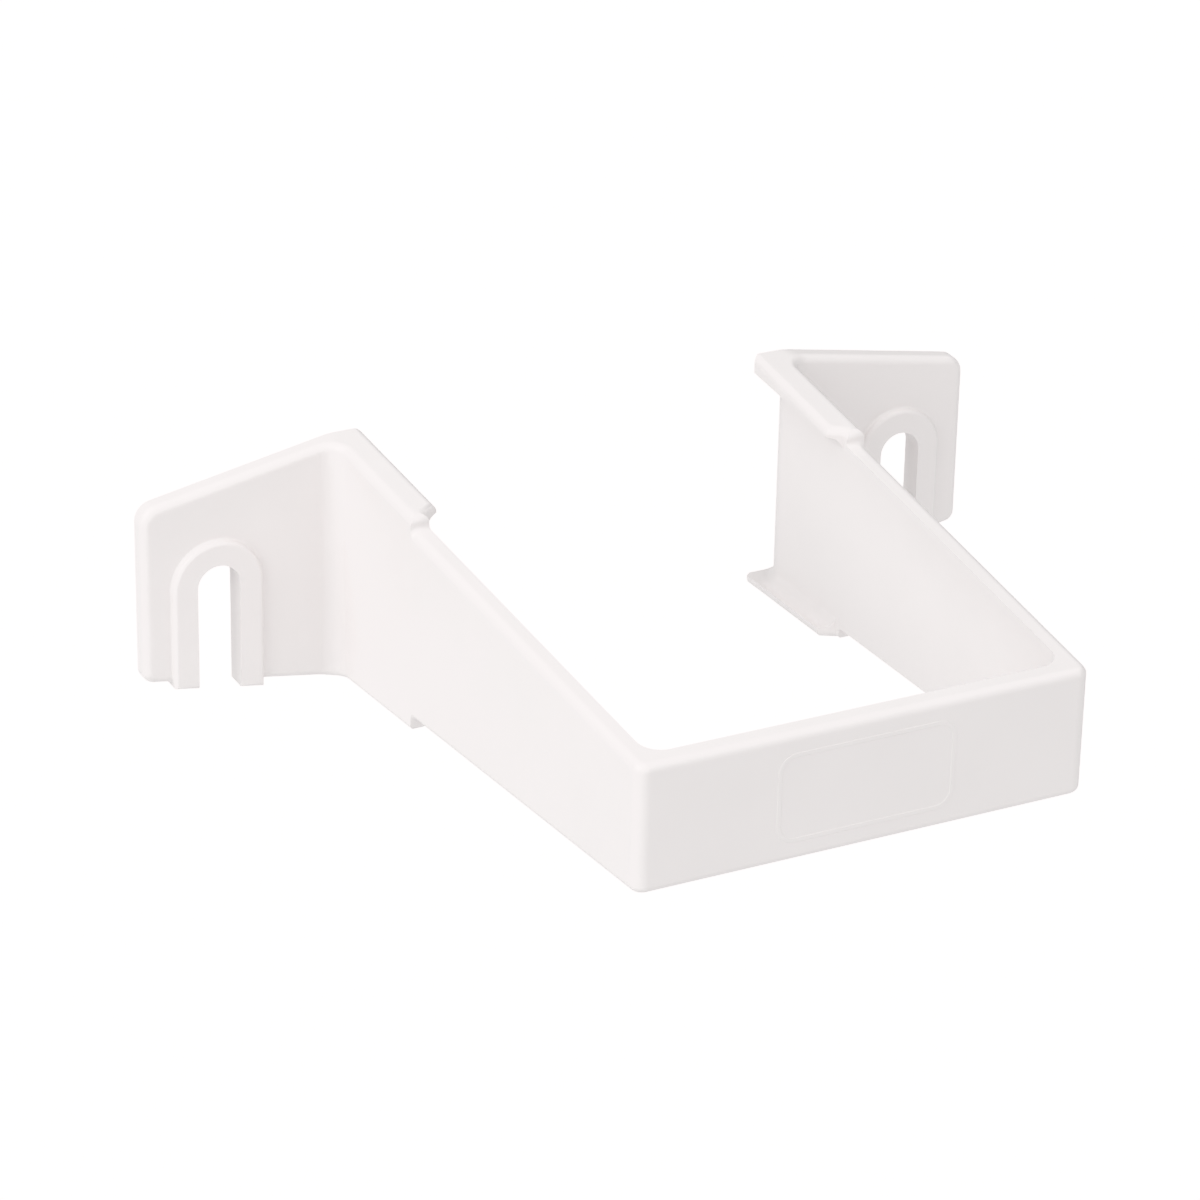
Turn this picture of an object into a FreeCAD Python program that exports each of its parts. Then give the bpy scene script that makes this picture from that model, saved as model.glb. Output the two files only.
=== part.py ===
import FreeCAD, Part
import math
import os
import Sketcher

# Downpipe bracket: a moulded saddle that goes round a square rainwater pipe and screws to a wall.
# X runs across the wall, Y points into the wall, Z is up. The origin is on the wall plane,
# midway between the two fixing slots, so the bracket reaches from y = 0 towards -Y.

SIZES = [
    ("pipe_width", 65.0, "side of the square pipe"),
    ("pipe_play", 0.6, "clearance across the pipe at the front"),
    ("wall", 3.0, "wall of the strap"),
    ("depth", 97.5, "wall plane to front face"),
    ("rear_spread", 2.8, "how far each arm leans out over its length"),
    ("front_height", 20.0, "height of the strap at the front face"),
    ("rear_height", 35.2, "height of the strap at the wall plane, without flanges"),
    ("flange_step", 2.2, "height of a flange above the strap's edge"),
    ("flange_width", 5.4, "outer face of an arm to the flange's inner edge"),
    ("flange_length", 27.8, "wall plane to the flange's front end"),
    ("flange_slant", 2.6, "how far the flange's front end slants back towards its inner edge"),
    ("flange_square", 1.4, "width of the flange's front end that stays square, at the outer face"),
    ("flange_heel", 0.9, "cut across the flange's inner corner at the wall plane"),
    ("upper_lip_rear", 2.7, "thickness of the upper flange's inner edge at the wall plane"),
    ("upper_lip_front", 1.4, "thickness of the upper flange's inner edge at its front end"),
    ("lower_lip", 1.7, "thickness of the lower flange's inner edge"),
    ("flange_seam", 2.2, "rounding where a flange meets the arm's inner face"),
    ("flange_foot", 0.8, "rounding where a flange's front end meets the strap's edge"),
    ("overall_width", 140.0, "width over both ears"),
    ("ear_thickness", 3.0, "thickness of an ear"),
    ("ear_end_height", 28.4, "height of an ear at its outer end"),
    ("ear_end_drop", 0.4, "how far the outer end sits below mid-height"),
    ("ear_top_corner", 3.0, "rounding of an ear's upper outer corner"),
    ("ear_low_corner", 1.8, "rounding of an ear's lower outer corner"),
    ("bend_hollow", 3.0, "radius of the bend from arm to ear on its hollow side"),
    ("bend_round", 7.9, "radius of the bend from arm to ear on its round side"),
    ("rear_run", 0.4, "how far the wall runs past the wall plane before it is cut flat"),
    ("outer_corner", 2.0, "rounding of the front's outer corners"),
    ("inner_corner", 3.5, "rounding of the front's inner corners"),
    ("edge_round", 1.3, "rounding of the outer top and bottom edges"),
    ("ear_blend", 10.0, "rounding where a flange's top turns down along the ear"),
    ("slot_spacing", 116.6, "distance between the two fixing slots"),
    ("slot_width", 6.8, "width of a fixing slot"),
    ("collar_width", 14.4, "width of the raised collar round a slot"),
    ("collar_rise", 1.1, "height of the collar above the ear"),
    ("collar_round", 0.65, "rounding of the collar's outer edge"),
    ("collar_base", 0.4, "rounding where the collar rises from the ear"),
    ("collar_foot", 0.6, "how far the collar's legs reach below the ear"),
    ("panel_width", 27.6, "width of the plain panel on the front"),
    ("panel_height", 13.4, "height of the plain panel on the front"),
    ("panel_corner", 2.6, "rounding of the panel's corners"),
    ("line_width", 0.7, "width of the raised line round the panel"),
    ("line_rise", 0.06, "height of that line"),
    ("line_lean", 50.0, "lean of that line's flanks, in degrees"),
    ("overrun", 2.0, "how far a cut runs past the solid"),
]


class Dim:
    """A size held as a number and as the sheet expression that gives it."""

    def __init__(self, value, text):
        self.value = value
        self.text = text

    def __add__(self, other):
        return Dim(self.value + other.value, f"({self.text} + {other.text})")

    def __sub__(self, other):
        return Dim(self.value - other.value, f"({self.text} - {other.text})")

    def __mul__(self, other):
        return Dim(self.value * other.value, f"({self.text} * {other.text})")

    def __truediv__(self, other):
        return Dim(self.value / other.value, f"({self.text} / {other.text})")

    def __neg__(self):
        return Dim(-self.value, f"(0 - {self.text})")


ZERO = Dim(0.0, "0")
TWO = Dim(2.0, "2")

# Limits for picking edges and faces by place and direction
TOUCH = 0.01
PROBE = 0.05
LEVEL = 0.9
UPRIGHT = 0.1
NEARLY_ONE = 0.99


def make_sheet(doc):
    """The spreadsheet of driving sizes, and a Dim for each."""
    sheet = doc.addObject("Spreadsheet::Sheet", "Sizes")
    dims = {}
    for row, (name, value, meaning) in enumerate(SIZES, start=1):
        sheet.set(f"A{row}", meaning)
        sheet.set(f"B{row}", str(value))
        sheet.setAlias(f"B{row}", name)
        dims[name] = Dim(value, f"Sizes.{name}")
    return dims


def sketch_on(body, name, role):
    """A sketch on one of the body's own origin planes."""
    sketch = body.newObject("Sketcher::SketchObject", name)
    plane = next(item for item in body.Origin.OriginFeatures if item.Role == role)
    sketch.AttachmentSupport = [(plane, "")]
    sketch.MapMode = "FlatFace"
    return sketch


def bind(sketch, constraint, dim):
    """Add a constraint and drive its value from the sheet."""
    index = sketch.addConstraint(constraint)
    sketch.setExpression(f"Constraints[{index}]", dim.text)


def pin(sketch, item, end, x, y):
    """Fix a point of the sketch at the sizes x and y from the origin."""
    for kind, axis, dim in (("DistanceX", -2, x), ("DistanceY", -1, y)):
        if dim is ZERO:
            sketch.addConstraint(Sketcher.Constraint("PointOnObject", item, end, axis))
        else:
            bind(sketch, Sketcher.Constraint(kind, -1, 1, item, end, dim.value), dim)


def outline(sketch, corners):
    """Closed outline through corners (x, y) or, rounded by an arc, (x, y, radius)."""
    count = len(corners)
    points = [FreeCAD.Vector(c[0].value, c[1].value, 0) for c in corners]
    starts, ends, arcs = list(points), list(points), {}
    for i, corner in enumerate(corners):
        if len(corner) == 3:
            radius = corner[2].value
            back = (points[i - 1] - points[i]).normalize()
            ahead = (points[(i + 1) % count] - points[i]).normalize()
            half_angle = back.getAngle(ahead) / 2
            ends[i] = points[i] + back * (radius / math.tan(half_angle))
            starts[i] = points[i] + ahead * (radius / math.tan(half_angle))
            centre = points[i] + (back + ahead).normalize() * (radius / math.sin(half_angle))
            arcs[i] = (centre, radius, back.cross(ahead).z < 0)
    lines = []
    for i in range(count):
        segment = Part.LineSegment(starts[i], ends[(i + 1) % count])
        lines.append(sketch.addGeometry(segment, False))
    for i, corner in enumerate(corners):
        before, after = lines[i - 1], lines[i]
        if i not in arcs:
            sketch.addConstraint(Sketcher.Constraint("Coincident", before, 2, after, 1))
            pin(sketch, after, 1, corner[0], corner[1])
            continue
        centre, radius, turns_left = arcs[i]
        first, last = (ends[i], starts[i]) if turns_left else (starts[i], ends[i])
        angles = [math.atan2(p.y - centre.y, p.x - centre.x) for p in (first, last)]
        circle = Part.Circle(centre, FreeCAD.Vector(0, 0, 1), radius)
        arc = sketch.addGeometry(Part.ArcOfCircle(circle, angles[0], angles[1]), False)
        enters, leaves = (1, 2) if turns_left else (2, 1)
        sketch.addConstraint(Sketcher.Constraint("Tangent", before, 2, arc, enters))
        sketch.addConstraint(Sketcher.Constraint("Tangent", arc, leaves, after, 1))
        bind(sketch, Sketcher.Constraint("Radius", arc, radius), corner[2])
        tip = sketch.addGeometry(Part.Point(points[i]), True)
        pin(sketch, tip, 1, corner[0], corner[1])
        sketch.addConstraint(Sketcher.Constraint("PointOnObject", tip, 1, before))
        sketch.addConstraint(Sketcher.Constraint("PointOnObject", tip, 1, after))


def arch(sketch, left, right, left_low, right_low):
    """Outline of an arch: a half circle about the X axis on two straight legs."""
    radius = (right.value - left.value) / 2
    top = FreeCAD.Vector((left.value + right.value) / 2, 0, 0)
    feet = [FreeCAD.Vector(left.value, left_low.value, 0), FreeCAD.Vector(right.value, right_low.value, 0)]
    shoulders = [FreeCAD.Vector(left.value, 0, 0), FreeCAD.Vector(right.value, 0, 0)]
    base = sketch.addGeometry(Part.LineSegment(feet[0], feet[1]), False)
    right_leg = sketch.addGeometry(Part.LineSegment(feet[1], shoulders[1]), False)
    circle = Part.Circle(top, FreeCAD.Vector(0, 0, 1), radius)
    crown = sketch.addGeometry(Part.ArcOfCircle(circle, 0, math.pi), False)
    left_leg = sketch.addGeometry(Part.LineSegment(shoulders[0], feet[0]), False)
    sketch.addConstraint(Sketcher.Constraint("Coincident", base, 2, right_leg, 1))
    sketch.addConstraint(Sketcher.Constraint("Coincident", left_leg, 2, base, 1))
    sketch.addConstraint(Sketcher.Constraint("Tangent", right_leg, 2, crown, 1))
    sketch.addConstraint(Sketcher.Constraint("Tangent", crown, 2, left_leg, 1))
    sketch.addConstraint(Sketcher.Constraint("Vertical", left_leg))
    sketch.addConstraint(Sketcher.Constraint("Vertical", right_leg))
    sketch.addConstraint(Sketcher.Constraint("PointOnObject", crown, 3, -1))
    pin(sketch, base, 1, left, left_low)
    pin(sketch, base, 2, right, right_low)


def pad(body, sketch, name, length, symmetric, taper=None):
    """Pad a sketch, to both sides of its plane or along its normal only, with upright or leaning flanks."""
    feature = body.newObject("PartDesign::Pad", name)
    feature.Profile = sketch
    feature.SideType = "Symmetric" if symmetric else "One side"
    feature.setExpression("Length", length.text)
    if taper is not None:
        feature.setExpression("TaperAngle", taper.text)
    body.Document.recompute()


def cut(body, sketch, name):
    """Pocket a sketch right through, to both sides of its plane."""
    before = body.Shape.Volume
    feature = body.newObject("PartDesign::Pocket", name)
    feature.Profile = sketch
    feature.SideType = "Symmetric"
    feature.Type = "ThroughAll"
    body.Document.recompute()
    if body.Shape.Volume >= before:
        raise RuntimeError(f"{name} cuts nothing")


def round_edges(body, name, radius, wanted):
    """Fillet every edge of the body's last feature that wanted(edge, faces) accepts."""
    base = body.Tip
    names = []
    for number, edge in enumerate(base.Shape.Edges, start=1):
        faces = base.Shape.ancestorsOfType(edge, Part.Face)
        if len(faces) == 2 and wanted(edge, faces):
            names.append(f"Edge{number}")
    feature = body.newObject("PartDesign::Fillet", name)
    feature.Base = (base, names)
    feature.setExpression("Radius", radius.text)
    body.Document.recompute()
    if "Invalid" in feature.State:
        raise RuntimeError(f"{name} can't be rounded on {names}")


def middle(edge):
    """The point halfway along an edge."""
    return edge.valueAt((edge.FirstParameter + edge.LastParameter) / 2)


def normal_at(face, point):
    """The outward normal of a face at a point on it."""
    u, v = face.Surface.parameter(point)
    return face.normalAt(u, v)


def build_bracket(doc, dims):
    """One half of the moulding, mirrored about its middle plane."""
    body = doc.addObject("PartDesign::Body", "Bracket")
    body.Label = "downpipe_bracket"

    depth = dims["depth"]
    wall = dims["wall"]
    ear_thickness = dims["ear_thickness"]
    flange_length = dims["flange_length"]
    overrun = dims["overrun"]
    front_half_width = (dims["pipe_width"] + dims["pipe_play"]) / TWO + wall
    half_width = dims["overall_width"] / TWO
    front_half = dims["front_height"] / TWO
    rear_half = dims["rear_height"] / TWO
    top_half = rear_half + dims["flange_step"]
    ear_half = dims["ear_end_height"] / TWO
    clear_height = top_half + overrun

    def outer_x(y):
        """Outer face of the right arm, which leans out towards the wall."""
        return front_half_width + dims["rear_spread"] * (y + depth) / depth

    def flange_inner(y):
        """Inner edge of the right flanges."""
        return outer_x(y) - dims["flange_width"]

    def strap_z(y):
        """Upper edge of the strap, which rises towards the wall."""
        return front_half + (rear_half - front_half) * (y + depth) / depth

    flange_front = -flange_length
    slant_end = flange_front + dims["flange_slant"]
    flange_root = outer_x(ZERO) - wall + dims["bend_round"] + overrun
    rear_run = dims["rear_run"]
    rear_end = rear_run + dims["flange_seam"] + overrun
    rear_clear = rear_end + overrun

    # The flange, still as high as the whole bracket
    flange_plan = sketch_on(body, "flange_plan", "XY_Plane")
    outline(flange_plan, [
        (outer_x(flange_front), flange_front),
        (outer_x(-ear_thickness), -ear_thickness),
        (flange_root, -ear_thickness),
        (flange_root, rear_end),
        (flange_inner(rear_end), rear_end),
        (flange_inner(slant_end), slant_end),
        (outer_x(flange_front) - dims["flange_square"], flange_front),
    ])
    pad(body, flange_plan, "flange_block", TWO * clear_height, True)

    # The space between the upper and the lower flange, open towards the pipe
    channel_side = sketch_on(body, "channel_side", "YZ_Plane")
    channel_front = flange_front - overrun
    lip_front = dims["upper_lip_front"]
    lip_gain = dims["upper_lip_rear"] - lip_front

    def channel_top(y):
        """Underside of the upper flange, which is thicker towards the wall."""
        return strap_z(y) + dims["flange_step"] - lip_front - lip_gain * (y + flange_length) / flange_length

    def channel_floor(y):
        """Upper side of the lower flange."""
        return dims["lower_lip"] - dims["flange_step"] - strap_z(y)

    outline(channel_side, [
        (channel_front, channel_floor(channel_front)),
        (rear_clear, channel_floor(rear_clear)),
        (rear_clear, channel_top(rear_clear)),
        (channel_front, channel_top(channel_front)),
    ])
    cut(body, channel_side, "channel")

    # Front, arm, bend and ear in one wall
    inner_front = -depth + wall
    wall_plan = sketch_on(body, "wall_plan", "XY_Plane")
    outline(wall_plan, [
        (ZERO, -depth),
        (front_half_width, -depth, dims["outer_corner"]),
        (outer_x(-ear_thickness), -ear_thickness, dims["bend_hollow"]),
        (half_width, -ear_thickness),
        (half_width, rear_run),
        (outer_x(rear_run) - wall, rear_run, dims["bend_round"]),
        (outer_x(inner_front) - wall, inner_front, dims["inner_corner"]),
        (ZERO, inner_front),
    ])
    pad(body, wall_plan, "wall_block", TWO * clear_height, True)

    def flange_seam(edge, faces):
        point = middle(edge)
        normals = [normal_at(face, point) for face in faces]
        under_flange = any(n.z * point.z < 0 and abs(n.z) > LEVEL for n in normals)
        round_side = any(n.x < -UPRIGHT and n.y > UPRIGHT for n in normals)
        return under_flange and round_side and point.x > front_half_width.value

    round_edges(body, "flange_seams", dims["flange_seam"], flange_seam)

    # Everything behind the wall plane goes, and the flanges' inner corners there
    heel = dims["flange_heel"]
    rear_trim = sketch_on(body, "rear_trim", "XY_Plane")
    outline(rear_trim, [
        (ZERO, -heel),
        (flange_inner(-heel), -heel),
        (flange_inner(ZERO) + heel, ZERO),
        (half_width + overrun, ZERO),
        (half_width + overrun, rear_clear),
        (ZERO, rear_clear),
    ])
    cut(body, rear_trim, "wall_plane")

    # Height of strap and flanges, seen from the side
    side_trim = sketch_on(body, "side_trim", "YZ_Plane")
    front_run = -depth - overrun
    step_top = strap_z(flange_front) + dims["flange_step"]
    rear_top = strap_z(overrun) + dims["flange_step"]
    high = clear_height + overrun
    upper = [
        (front_run, strap_z(front_run)),
        (flange_front, strap_z(flange_front)),
        (flange_front, step_top),
        (overrun, rear_top),
        (overrun, high),
        (front_run, high),
    ]
    outline(side_trim, upper)
    outline(side_trim, [(y, -z) for y, z in upper])
    cut(body, side_trim, "height")

    # Ears narrow towards their outer ends
    ear_trim = sketch_on(body, "ear_trim", "XZ_Plane")
    ear_root = outer_x(ZERO)
    ear_reach = half_width - ear_root
    ear_run = half_width + overrun

    def ear_top(x):
        """Upper edge of an ear."""
        return top_half - (top_half - ear_half + dims["ear_end_drop"]) * (x - ear_root) / ear_reach

    def ear_low(x):
        """Lower edge of an ear."""
        return (top_half - ear_half - dims["ear_end_drop"]) * (x - ear_root) / ear_reach - top_half

    outline(ear_trim, [
        (ear_root, top_half),
        (ear_run, ear_top(ear_run)),
        (ear_run, high),
        (ear_root, high),
    ])
    outline(ear_trim, [
        (ear_root, -top_half),
        (ear_run, ear_low(ear_run)),
        (ear_run, -high),
        (ear_root, -high),
    ])
    cut(body, ear_trim, "ear_taper")

    def ear_tip(edge):
        along_y = abs(edge.tangentAt(edge.FirstParameter).y) > NEARLY_ONE
        return along_y and abs(middle(edge).x - half_width.value) < TOUCH

    def upper_tip(edge, faces):
        return ear_tip(edge) and middle(edge).z > 0

    def lower_tip(edge, faces):
        return ear_tip(edge) and middle(edge).z < 0

    def flange_to_ear(edge, faces):
        point = middle(edge)
        both_level = all(abs(normal_at(face, point).z) > LEVEL for face in faces)
        return both_level and ear_root.value < point.x < flange_root.value

    def outer_edge(edge, faces):
        point = middle(edge)
        if point.x > half_width.value - dims["ear_low_corner"].value:
            return abs(point.y + ear_thickness.value) < TOUCH
        normals = [normal_at(face, point) for face in faces]
        level = [n for n in normals if n.z * point.z > 0 and abs(n.z) > LEVEL]
        upright = [n for n in normals if abs(n.z) < UPRIGHT]
        if len(level) != 1 or len(upright) != 1:
            return False
        within = point + (level[0] - upright[0]) * PROBE
        if body.Shape.isInside(within, TOUCH, False):
            return False
        faces_out = upright[0].x > UPRIGHT or upright[0].y < -UPRIGHT
        faces_pipe = upright[0].x < -LEVEL and point.y > flange_front.value
        return faces_out or faces_pipe

    round_edges(body, "ear_top_corners", dims["ear_top_corner"], upper_tip)
    round_edges(body, "ear_low_corners", dims["ear_low_corner"], lower_tip)
    round_edges(body, "ear_blends", dims["ear_blend"], flange_to_ear)
    round_edges(body, "outer_edges", dims["edge_round"], outer_edge)

    def flange_foot(edge, faces):
        point = middle(edge)
        normals = [normal_at(face, point) for face in faces]
        on_strap = any(n.z * point.z > 0 and abs(n.z) > LEVEL for n in normals)
        front_end = any(n.y < -LEVEL for n in normals)
        return on_strap and front_end and abs(point.y - flange_front.value) < TOUCH

    round_edges(body, "flange_feet", dims["flange_foot"], flange_foot)

    # Raised collar and open slot for the wall screw
    slot_x = dims["slot_spacing"] / TWO
    collar_half = dims["collar_width"] / TWO
    collar_left, collar_right = slot_x - collar_half, slot_x + collar_half
    collar_plan = sketch_on(body, "collar_plan", "XZ_Plane")
    foot = dims["collar_foot"]
    arch(collar_plan, collar_left, collar_right, ear_low(collar_left) - foot, ear_low(collar_right) - foot)
    collar_depth = ear_thickness + dims["collar_rise"]
    pad(body, collar_plan, "collar", collar_depth, False)

    def collar_base(edge, faces):
        point = middle(edge)
        on_ear = abs(point.y + ear_thickness.value) < TOUCH
        beside = abs(abs(point.x - slot_x.value) - collar_half.value) < TOUCH
        return on_ear and beside and ear_low(slot_x).value < point.z < 0

    round_edges(body, "collar_bases", dims["collar_base"], collar_base)

    slot_half = dims["slot_width"] / TWO
    slot_left, slot_right = slot_x - slot_half, slot_x + slot_half
    slot_plan = sketch_on(body, "slot_plan", "XZ_Plane")
    arch(slot_plan, slot_left, slot_right, -clear_height, -clear_height)
    cut(body, slot_plan, "slot")

    def collar_rim(edge, faces):
        point = middle(edge)
        on_front = abs(point.y + collar_depth.value) < TOUCH
        beside_slot = abs(abs(point.x - slot_x.value) - slot_half.value) < TOUCH
        over_slot = (point - FreeCAD.Vector(slot_x.value, point.y, 0)).Length < slot_half.value + TOUCH
        return on_front and not beside_slot and not over_slot

    round_edges(body, "collar_rims", dims["collar_round"], collar_rim)

    # Faint raised line round a plain panel on the front face
    panel_half_width = dims["panel_width"] / TWO
    panel_half_height = dims["panel_height"] / TWO
    half_line = dims["line_width"] / TWO
    outer_round = dims["panel_corner"] + half_line
    inner_round = dims["panel_corner"] - half_line
    panel_plan = sketch_on(body, "panel_plan", "XZ_Plane")
    panel_plan.setExpression("AttachmentOffset.Base.z", depth.text)
    outline(panel_plan, [
        (-overrun, -panel_half_height - half_line),
        (panel_half_width + half_line, -panel_half_height - half_line, outer_round),
        (panel_half_width + half_line, panel_half_height + half_line, outer_round),
        (-overrun, panel_half_height + half_line),
        (-overrun, panel_half_height - half_line),
        (panel_half_width - half_line, panel_half_height - half_line, inner_round),
        (panel_half_width - half_line, -panel_half_height + half_line, inner_round),
        (-overrun, -panel_half_height + half_line),
    ])
    pad(body, panel_plan, "panel_line", dims["line_rise"], False, -dims["line_lean"])

    mirror = body.newObject("PartDesign::Mirrored", "both_sides")
    mirror.TransformMode = "Whole shape"
    plane = next(item for item in body.Origin.OriginFeatures if item.Role == "YZ_Plane")
    mirror.MirrorPlane = (plane, [""])
    body.Tip = mirror
    doc.recompute()
    return body


def check(doc, pieces):
    """Stop before anything is written if a feature failed or a solid isn't sound."""
    for item in doc.Objects:
        if "Invalid" in item.State or "Error" in item.State:
            raise RuntimeError(f"{item.Name} failed: {item.State}")
    for piece in pieces:
        if piece.Shape.isNull() or not piece.Shape.isValid() or len(piece.Shape.Solids) != 1:
            raise RuntimeError(f"{piece.Label} is not one sound solid")


def main():
    doc = FreeCAD.newDocument("downpipe_bracket")
    dims = make_sheet(doc)
    doc.recompute()
    pieces = [build_bracket(doc, dims)]
    check(doc, pieces)
    os.makedirs("parts", exist_ok=True)
    for piece in pieces:
        piece.Shape.exportStep(f"parts/{piece.Label}.step")
        box = piece.Shape.optimalBoundingBox(False, False)
        print(piece.Label, f"{box.XLength:.1f} x {box.YLength:.1f} x {box.ZLength:.1f} mm",
              f"{piece.Shape.Volume / 1000:.2f} cm3")


main()
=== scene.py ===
import math

import bpy
from bpy.props import FloatProperty, FloatVectorProperty, IntProperty, PointerProperty
from mathutils import Euler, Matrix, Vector


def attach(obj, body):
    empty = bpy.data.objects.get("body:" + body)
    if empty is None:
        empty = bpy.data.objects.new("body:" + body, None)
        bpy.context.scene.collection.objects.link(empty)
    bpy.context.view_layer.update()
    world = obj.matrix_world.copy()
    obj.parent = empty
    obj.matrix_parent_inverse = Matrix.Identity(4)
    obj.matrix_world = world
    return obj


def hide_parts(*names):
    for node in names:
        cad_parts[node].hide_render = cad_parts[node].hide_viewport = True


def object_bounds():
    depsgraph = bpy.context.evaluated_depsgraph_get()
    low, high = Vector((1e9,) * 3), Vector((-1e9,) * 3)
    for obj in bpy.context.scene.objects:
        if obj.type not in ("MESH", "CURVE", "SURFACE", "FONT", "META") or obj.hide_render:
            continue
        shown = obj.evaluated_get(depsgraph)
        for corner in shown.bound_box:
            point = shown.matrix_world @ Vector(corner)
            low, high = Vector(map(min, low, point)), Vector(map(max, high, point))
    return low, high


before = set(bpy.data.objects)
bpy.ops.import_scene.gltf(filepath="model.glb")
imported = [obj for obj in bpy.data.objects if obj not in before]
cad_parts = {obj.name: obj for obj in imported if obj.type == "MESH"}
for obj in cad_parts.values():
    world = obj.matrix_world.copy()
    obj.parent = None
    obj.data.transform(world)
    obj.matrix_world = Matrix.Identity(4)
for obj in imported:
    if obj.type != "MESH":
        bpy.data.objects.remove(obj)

bl_info = {
    "name": "Downpipe bracket",
    "version": (1, 0, 0),
    "blender": (4, 5, 0),
    "location": "3D View > Sidebar > Bracket",
    "description": "Finishes a moulded downpipe bracket and sets it on a white studio stage",
    "category": "Object",
}

BRACKET_NODE = "downpipe_bracket"
BRACKET_BODY = "root"
CAD_BOX = [list(corner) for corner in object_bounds()]

# Vertices of the solid that are closer than this are one
WELD_GAP = 1e-6
# Faces of the solid that turn by less than this are one flat face
FLAT_TURN = math.radians(0.05)
# How many times the noise of the flow clouds and of the grain is broken up into finer noise
CLOUD_DETAIL = 3.0
GRAIN_DETAIL = 2.0
OPAQUE = 1.0
WHITE = (1.0, 1.0, 1.0, OPAQUE)
# Y of the direction that points straight to the front
STRAIGHT_AHEAD = -1.0


class MouldingSettings(bpy.types.PropertyGroup):
    """Finish of the moulded plastic."""

    hairline: FloatProperty(
        name="Hairline",
        description="Width of the hair-thin rounding on a crisp edge, where smooth shading ends",
        default=0.000004, min=0.0, max=0.0001, precision=6, unit="LENGTH")
    hairline_steps: IntProperty(
        name="Hairline steps",
        description="Faces across that rounding",
        default=2, min=1, max=6)
    crisp_turn: FloatProperty(
        name="Crisp turn",
        description="Smallest turn between two faces that counts as a crisp edge",
        default=math.radians(32.0), min=0.0, max=math.pi, subtype="ANGLE")
    colour: FloatVectorProperty(
        name="Colour",
        description="Mean colour of the white plastic",
        default=(0.86, 0.826, 0.82), min=0.0, max=1.0, size=3, subtype="COLOR")
    cloud_depth: FloatProperty(
        name="Cloud depth",
        description="How much slow flow clouds change the colour",
        default=0.02, min=0.0, max=0.2, subtype="FACTOR")
    cloud_size: FloatProperty(
        name="Cloud size",
        description="Width of a flow cloud",
        default=0.014, min=0.001, unit="LENGTH")
    roughness: FloatProperty(
        name="Roughness",
        description="Mean roughness of the satin surface",
        default=0.42, min=0.0, max=1.0, subtype="FACTOR")
    roughness_spread: FloatProperty(
        name="Roughness spread",
        description="How far the roughness wanders from its mean",
        default=0.08, min=0.0, max=0.5, subtype="FACTOR")
    grain_size: FloatProperty(
        name="Grain size",
        description="Width of the fine grain that the mould leaves",
        default=0.0004, min=0.00005, precision=5, unit="LENGTH")
    grain_height: FloatProperty(
        name="Grain height",
        description="Height of that grain",
        default=0.000004, min=0.0, precision=6, unit="LENGTH")


class StageSettings(bpy.types.PropertyGroup):
    """Camera, floor, light and tones."""

    camera_place: FloatVectorProperty(
        name="Camera place",
        description="Where the camera stands",
        default=(-0.307044, -0.616625, 0.326259), size=3, subtype="TRANSLATION")
    camera_turn: FloatVectorProperty(
        name="Camera turn",
        description="How the camera is turned",
        default=(math.radians(63.5816), math.radians(-1.0724), math.radians(-26.4976)),
        size=3, subtype="EULER")
    camera_lens: FloatProperty(
        name="Lens",
        description="Focal length on a 36 mm sensor",
        default=147.893, min=1.0, unit="CAMERA")
    floor_span: FloatProperty(
        name="Floor span",
        description="Side of the square floor",
        default=3.0, min=0.5, unit="LENGTH")
    floor_light: FloatProperty(
        name="Floor light",
        description="Light that the white floor throws up at the bracket",
        default=0.86, min=0.0)
    front_light: FloatProperty(
        name="Front light",
        description="Light of the room straight in front, which fades to nothing at the sides",
        default=0.583, min=0.0)
    top_light: FloatProperty(
        name="Top light",
        description="Light of the room straight above, which fades to nothing at the horizon",
        default=1.108, min=0.0)
    key_power: FloatProperty(
        name="Key power",
        description="Power of the wide soft light on the left",
        default=3.516, min=0.0, unit="POWER")
    key_place: FloatVectorProperty(
        name="Key place",
        description="Where the soft light hangs",
        default=(-0.75, -0.15, 0.45), size=3, subtype="TRANSLATION")
    key_span: FloatProperty(
        name="Key span",
        description="Side of the soft light's square face",
        default=0.7, min=0.05, unit="LENGTH")
    glare_start: FloatVectorProperty(
        name="Glare start",
        description="Red, green and blue above which highlights are held back",
        default=(0.92, 0.882, 0.878), min=0.1, max=0.99, size=3, subtype="COLOR")
    glare_share: FloatProperty(
        name="Glare share",
        description="Share of the brightness above that start that is kept",
        default=0.35, min=0.05, max=1.0, subtype="FACTOR")


def new_nodes(owner):
    """Clear the node tree of a material or a world and return its nodes and links."""
    owner.use_nodes = True
    tree = owner.node_tree
    tree.nodes.clear()
    return tree.nodes, tree.links


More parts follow.
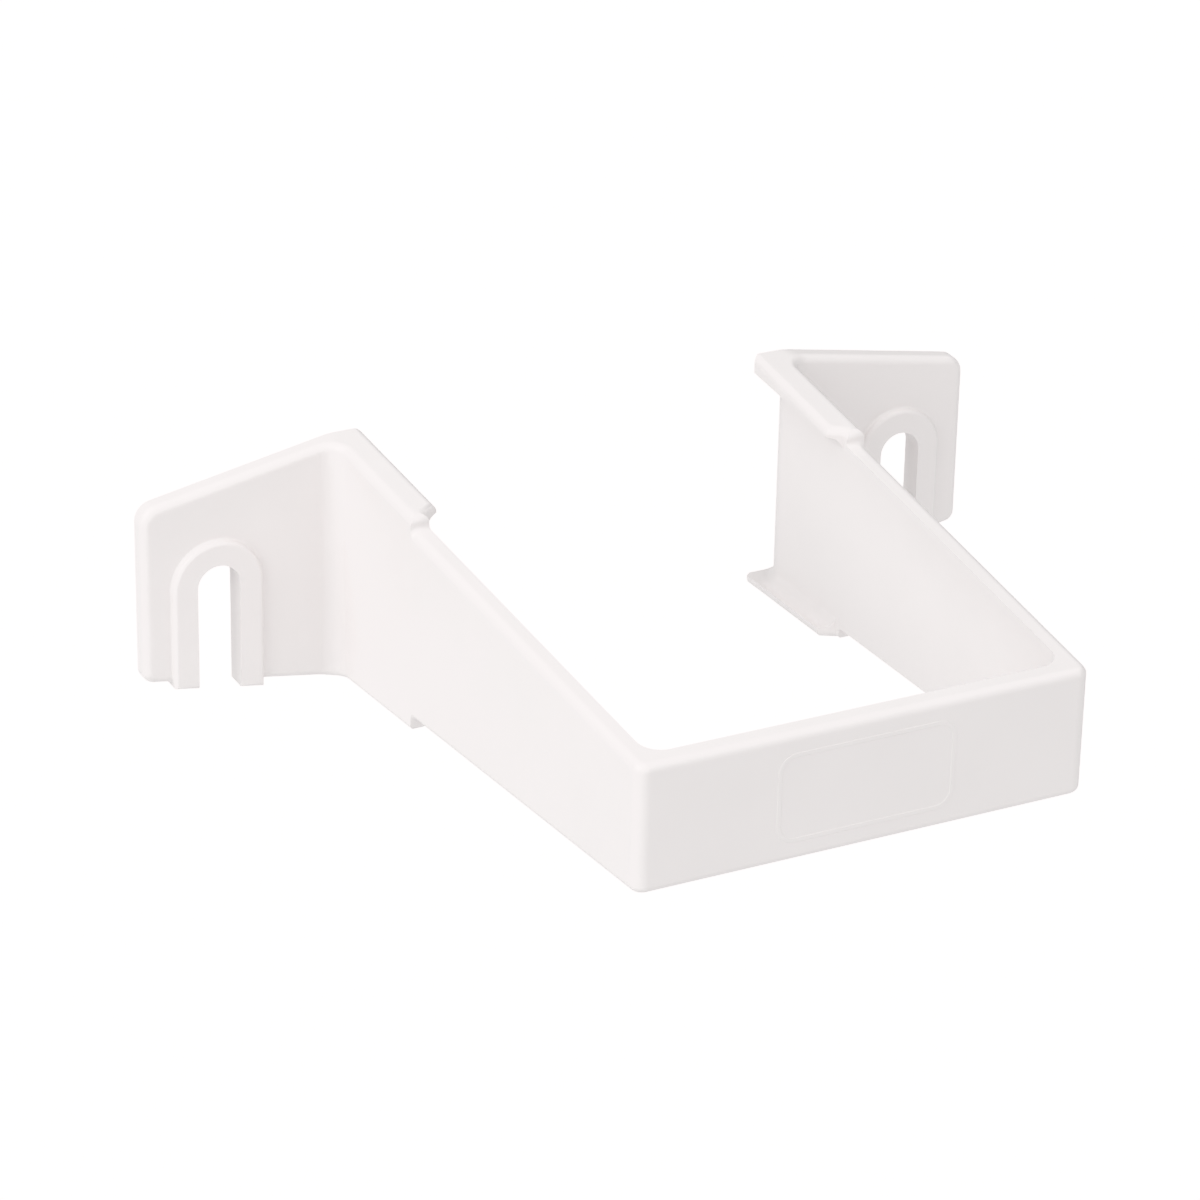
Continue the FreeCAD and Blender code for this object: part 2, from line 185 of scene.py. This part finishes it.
def satin_plastic(settings):
    """White rigid PVC: slow flow clouds in the colour, an uneven satin surface, a fine mould grain."""
    material = bpy.data.materials.new("white_satin_plastic")
    nodes, links = new_nodes(material)
    output = nodes.new("ShaderNodeOutputMaterial")
    shader = nodes.new("ShaderNodeBsdfPrincipled")
    place = nodes.new("ShaderNodeTexCoord")
    links.new(shader.outputs["BSDF"], output.inputs["Surface"])

    clouds = nodes.new("ShaderNodeTexNoise")
    clouds.inputs["Scale"].default_value = 1.0 / settings.cloud_size
    clouds.inputs["Detail"].default_value = CLOUD_DETAIL
    links.new(place.outputs["Object"], clouds.inputs["Vector"])
    tint = nodes.new("ShaderNodeMix")
    tint.data_type = "RGBA"
    mean = Vector(settings.colour)
    tint.inputs["A"].default_value = (*(mean * (1.0 - settings.cloud_depth)), OPAQUE)
    tint.inputs["B"].default_value = (*(mean * (1.0 + settings.cloud_depth)), OPAQUE)
    links.new(clouds.outputs["Fac"], tint.inputs["Factor"])
    links.new(tint.outputs["Result"], shader.inputs["Base Color"])

    satin = nodes.new("ShaderNodeMapRange")
    satin.inputs["To Min"].default_value = settings.roughness - settings.roughness_spread
    satin.inputs["To Max"].default_value = settings.roughness + settings.roughness_spread
    links.new(clouds.outputs["Fac"], satin.inputs["Value"])
    links.new(satin.outputs["Result"], shader.inputs["Roughness"])

    grain = nodes.new("ShaderNodeTexNoise")
    grain.inputs["Scale"].default_value = 1.0 / settings.grain_size
    grain.inputs["Detail"].default_value = GRAIN_DETAIL
    links.new(place.outputs["Object"], grain.inputs["Vector"])
    bump = nodes.new("ShaderNodeBump")
    bump.inputs["Distance"].default_value = settings.grain_height
    links.new(grain.outputs["Fac"], bump.inputs["Height"])
    links.new(bump.outputs["Normal"], shader.inputs["Normal"])
    return material


def full_white(settings):
    """Red, green and blue that come out as pure white when highlights are held back."""
    return [start + (1.0 - start) / settings.glare_share for start in settings.glare_start]


def white_floor(settings):
    """Floor that looks pure white and throws up a softer light."""
    material = bpy.data.materials.new("white_floor")
    nodes, links = new_nodes(material)
    output = nodes.new("ShaderNodeOutputMaterial")
    glow = nodes.new("ShaderNodeEmission")
    glow.inputs["Color"].default_value = WHITE
    seen = nodes.new("ShaderNodeLightPath")
    strength = nodes.new("ShaderNodeMapRange")
    strength.inputs["To Min"].default_value = settings.floor_light
    strength.inputs["To Max"].default_value = max(full_white(settings))
    links.new(seen.outputs["Is Camera Ray"], strength.inputs["Value"])
    links.new(strength.outputs["Result"], glow.inputs["Strength"])
    links.new(glow.outputs["Emission"], output.inputs["Surface"])
    return material


def room_strength(nodes, links, settings):
    """Output socket with the strength of the room's light in each direction."""
    direction = nodes.new("ShaderNodeTexCoord")
    axes = nodes.new("ShaderNodeSeparateXYZ")
    links.new(direction.outputs["Generated"], axes.inputs["Vector"])
    front = nodes.new("ShaderNodeMapRange")
    front.inputs["From Max"].default_value = STRAIGHT_AHEAD
    front.inputs["To Max"].default_value = settings.front_light
    links.new(axes.outputs["Y"], front.inputs["Value"])
    top = nodes.new("ShaderNodeMapRange")
    top.inputs["To Max"].default_value = settings.top_light
    links.new(axes.outputs["Z"], top.inputs["Value"])
    both = nodes.new("ShaderNodeMath")
    both.operation = "ADD"
    links.new(front.outputs["Result"], both.inputs[0])
    links.new(top.outputs["Result"], both.inputs[1])
    return both.outputs["Value"]


def white_room(settings):
    """World that lights the bracket from the front and from above and looks pure white behind it."""
    world = bpy.data.worlds.new("white_room")
    nodes, links = new_nodes(world)
    output = nodes.new("ShaderNodeOutputWorld")
    room = nodes.new("ShaderNodeBackground")
    room.inputs["Color"].default_value = WHITE
    links.new(room_strength(nodes, links, settings), room.inputs["Strength"])
    backdrop = nodes.new("ShaderNodeBackground")
    backdrop.inputs["Color"].default_value = WHITE
    backdrop.inputs["Strength"].default_value = max(full_white(settings))
    seen = nodes.new("ShaderNodeLightPath")
    choice = nodes.new("ShaderNodeMixShader")
    links.new(seen.outputs["Is Camera Ray"], choice.inputs["Fac"])
    links.new(room.outputs["Background"], choice.inputs[1])
    links.new(backdrop.outputs["Background"], choice.inputs[2])
    links.new(choice.outputs["Shader"], output.inputs["Surface"])
    return world


def only(obj):
    """Make an object the active one and the only one selected."""
    bpy.ops.object.select_all(action="DESELECT")
    obj.select_set(True)
    bpy.context.view_layer.objects.active = obj


class BRACKET_OT_moulding(bpy.types.Operator):
    """Copy the bracket's solid, put hairlines on its crisp edges and give it its plastic"""

    bl_idname = "bracket.moulding"
    bl_label = "Moulded bracket"

    def execute(self, context):
        settings = context.scene.bracket_moulding
        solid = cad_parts[BRACKET_NODE]
        piece = bpy.data.objects.new("bracket_moulding", solid.data.copy())
        context.collection.objects.link(piece)
        only(piece)

        # The solid's loose triangles become one skin with whole flat faces
        bpy.ops.object.mode_set(mode="EDIT")
        bpy.ops.mesh.select_all(action="SELECT")
        bpy.ops.mesh.remove_doubles(threshold=WELD_GAP)
        bpy.ops.mesh.dissolve_limited(angle_limit=FLAT_TURN)
        bpy.ops.object.mode_set(mode="OBJECT")

        hairlines = piece.modifiers.new("hairlines", "BEVEL")
        hairlines.width = settings.hairline
        hairlines.segments = settings.hairline_steps
        hairlines.limit_method = "ANGLE"
        hairlines.angle_limit = settings.crisp_turn
        hairlines.miter_outer = "MITER_ARC"
        bpy.ops.object.modifier_apply(modifier=hairlines.name)
        bpy.ops.object.shade_smooth()
        shading = piece.modifiers.new("flat_faces_stay_flat", "WEIGHTED_NORMAL")
        shading.mode = "FACE_AREA"
        bpy.ops.object.modifier_apply(modifier=shading.name)

        piece.data.materials.clear()
        piece.data.materials.append(satin_plastic(settings))
        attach(piece, BRACKET_BODY)
        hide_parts(BRACKET_NODE)
        return {"FINISHED"}


class BRACKET_OT_stage(bpy.types.Operator):
    """Set up the white floor, the light, the camera and the tones"""

    bl_idname = "bracket.stage"
    bl_label = "White stage"

    def execute(self, context):
        settings = context.scene.bracket_stage
        self.add_floor(settings)
        context.scene.world = white_room(settings)
        self.add_key_light(settings)
        self.add_camera(context, settings)
        self.hold_back_glare(context, settings)
        return {"FINISHED"}

    def add_floor(self, settings):
        """Lay the floor under the lowest point of the bracket."""
        bpy.ops.mesh.primitive_plane_add(size=settings.floor_span, location=(0.0, 0.0, CAD_BOX[0][2]))
        floor = bpy.context.object
        floor.name = "floor"
        bpy.ops.object.transform_apply(location=True, rotation=True, scale=True)
        floor.data.materials.append(white_floor(settings))

    def add_key_light(self, settings):
        """Hang the soft light and turn it to the middle of the bracket."""
        place = Vector(settings.key_place)
        middle = (Vector(CAD_BOX[0]) + Vector(CAD_BOX[1])) / 2
        turn = (middle - place).to_track_quat("-Z", "Y").to_euler()
        bpy.ops.object.light_add(type="AREA", location=place, rotation=turn)
        light = bpy.context.object
        light.name = "key_light"
        light.data.energy = settings.key_power
        light.data.size = settings.key_span

    def add_camera(self, context, settings):
        """Place the camera and make it the scene's own."""
        bpy.ops.object.camera_add(location=settings.camera_place, rotation=Euler(settings.camera_turn))
        camera = bpy.context.object
        camera.name = "camera"
        camera.data.lens = settings.camera_lens
        context.scene.camera = camera

    def hold_back_glare(self, context, settings):
        """Show tones as they are up to the start of the glare, and press the brighter ones together."""
        view = context.scene.view_settings
        view.view_transform = "Standard"
        view.use_curve_mapping = True
        tones = view.curve_mapping
        tones.white_level = full_white(settings)
        for curve, start, white in zip(tones.curves, settings.glare_start, tones.white_level):
            curve.points.new(start / white, start)
            for point in curve.points:
                point.handle_type = "VECTOR"
        tones.update()


class BRACKET_PT_sidebar(bpy.types.Panel):
    """Finish and stage of the bracket"""

    bl_idname = "BRACKET_PT_sidebar"
    bl_label = "Downpipe bracket"
    bl_space_type = "VIEW_3D"
    bl_region_type = "UI"
    bl_category = "Bracket"

    def draw(self, context):
        for settings, operator in (
            (context.scene.bracket_moulding, BRACKET_OT_moulding),
            (context.scene.bracket_stage, BRACKET_OT_stage),
        ):
            box = self.layout.box()
            for name in settings.bl_rna.properties.keys():
                if name not in ("rna_type", "name"):
                    box.prop(settings, name)
            box.operator(operator.bl_idname)


CLASSES = (MouldingSettings, StageSettings, BRACKET_OT_moulding, BRACKET_OT_stage, BRACKET_PT_sidebar)


def register():
    for item in CLASSES:
        bpy.utils.register_class(item)
    bpy.types.Scene.bracket_moulding = PointerProperty(type=MouldingSettings)
    bpy.types.Scene.bracket_stage = PointerProperty(type=StageSettings)


def unregister():
    del bpy.types.Scene.bracket_stage
    del bpy.types.Scene.bracket_moulding
    for item in reversed(CLASSES):
        bpy.utils.unregister_class(item)


def main():
    register()
    bpy.ops.bracket.moulding()
    bpy.ops.bracket.stage()


if __name__ == "__main__":
    main()
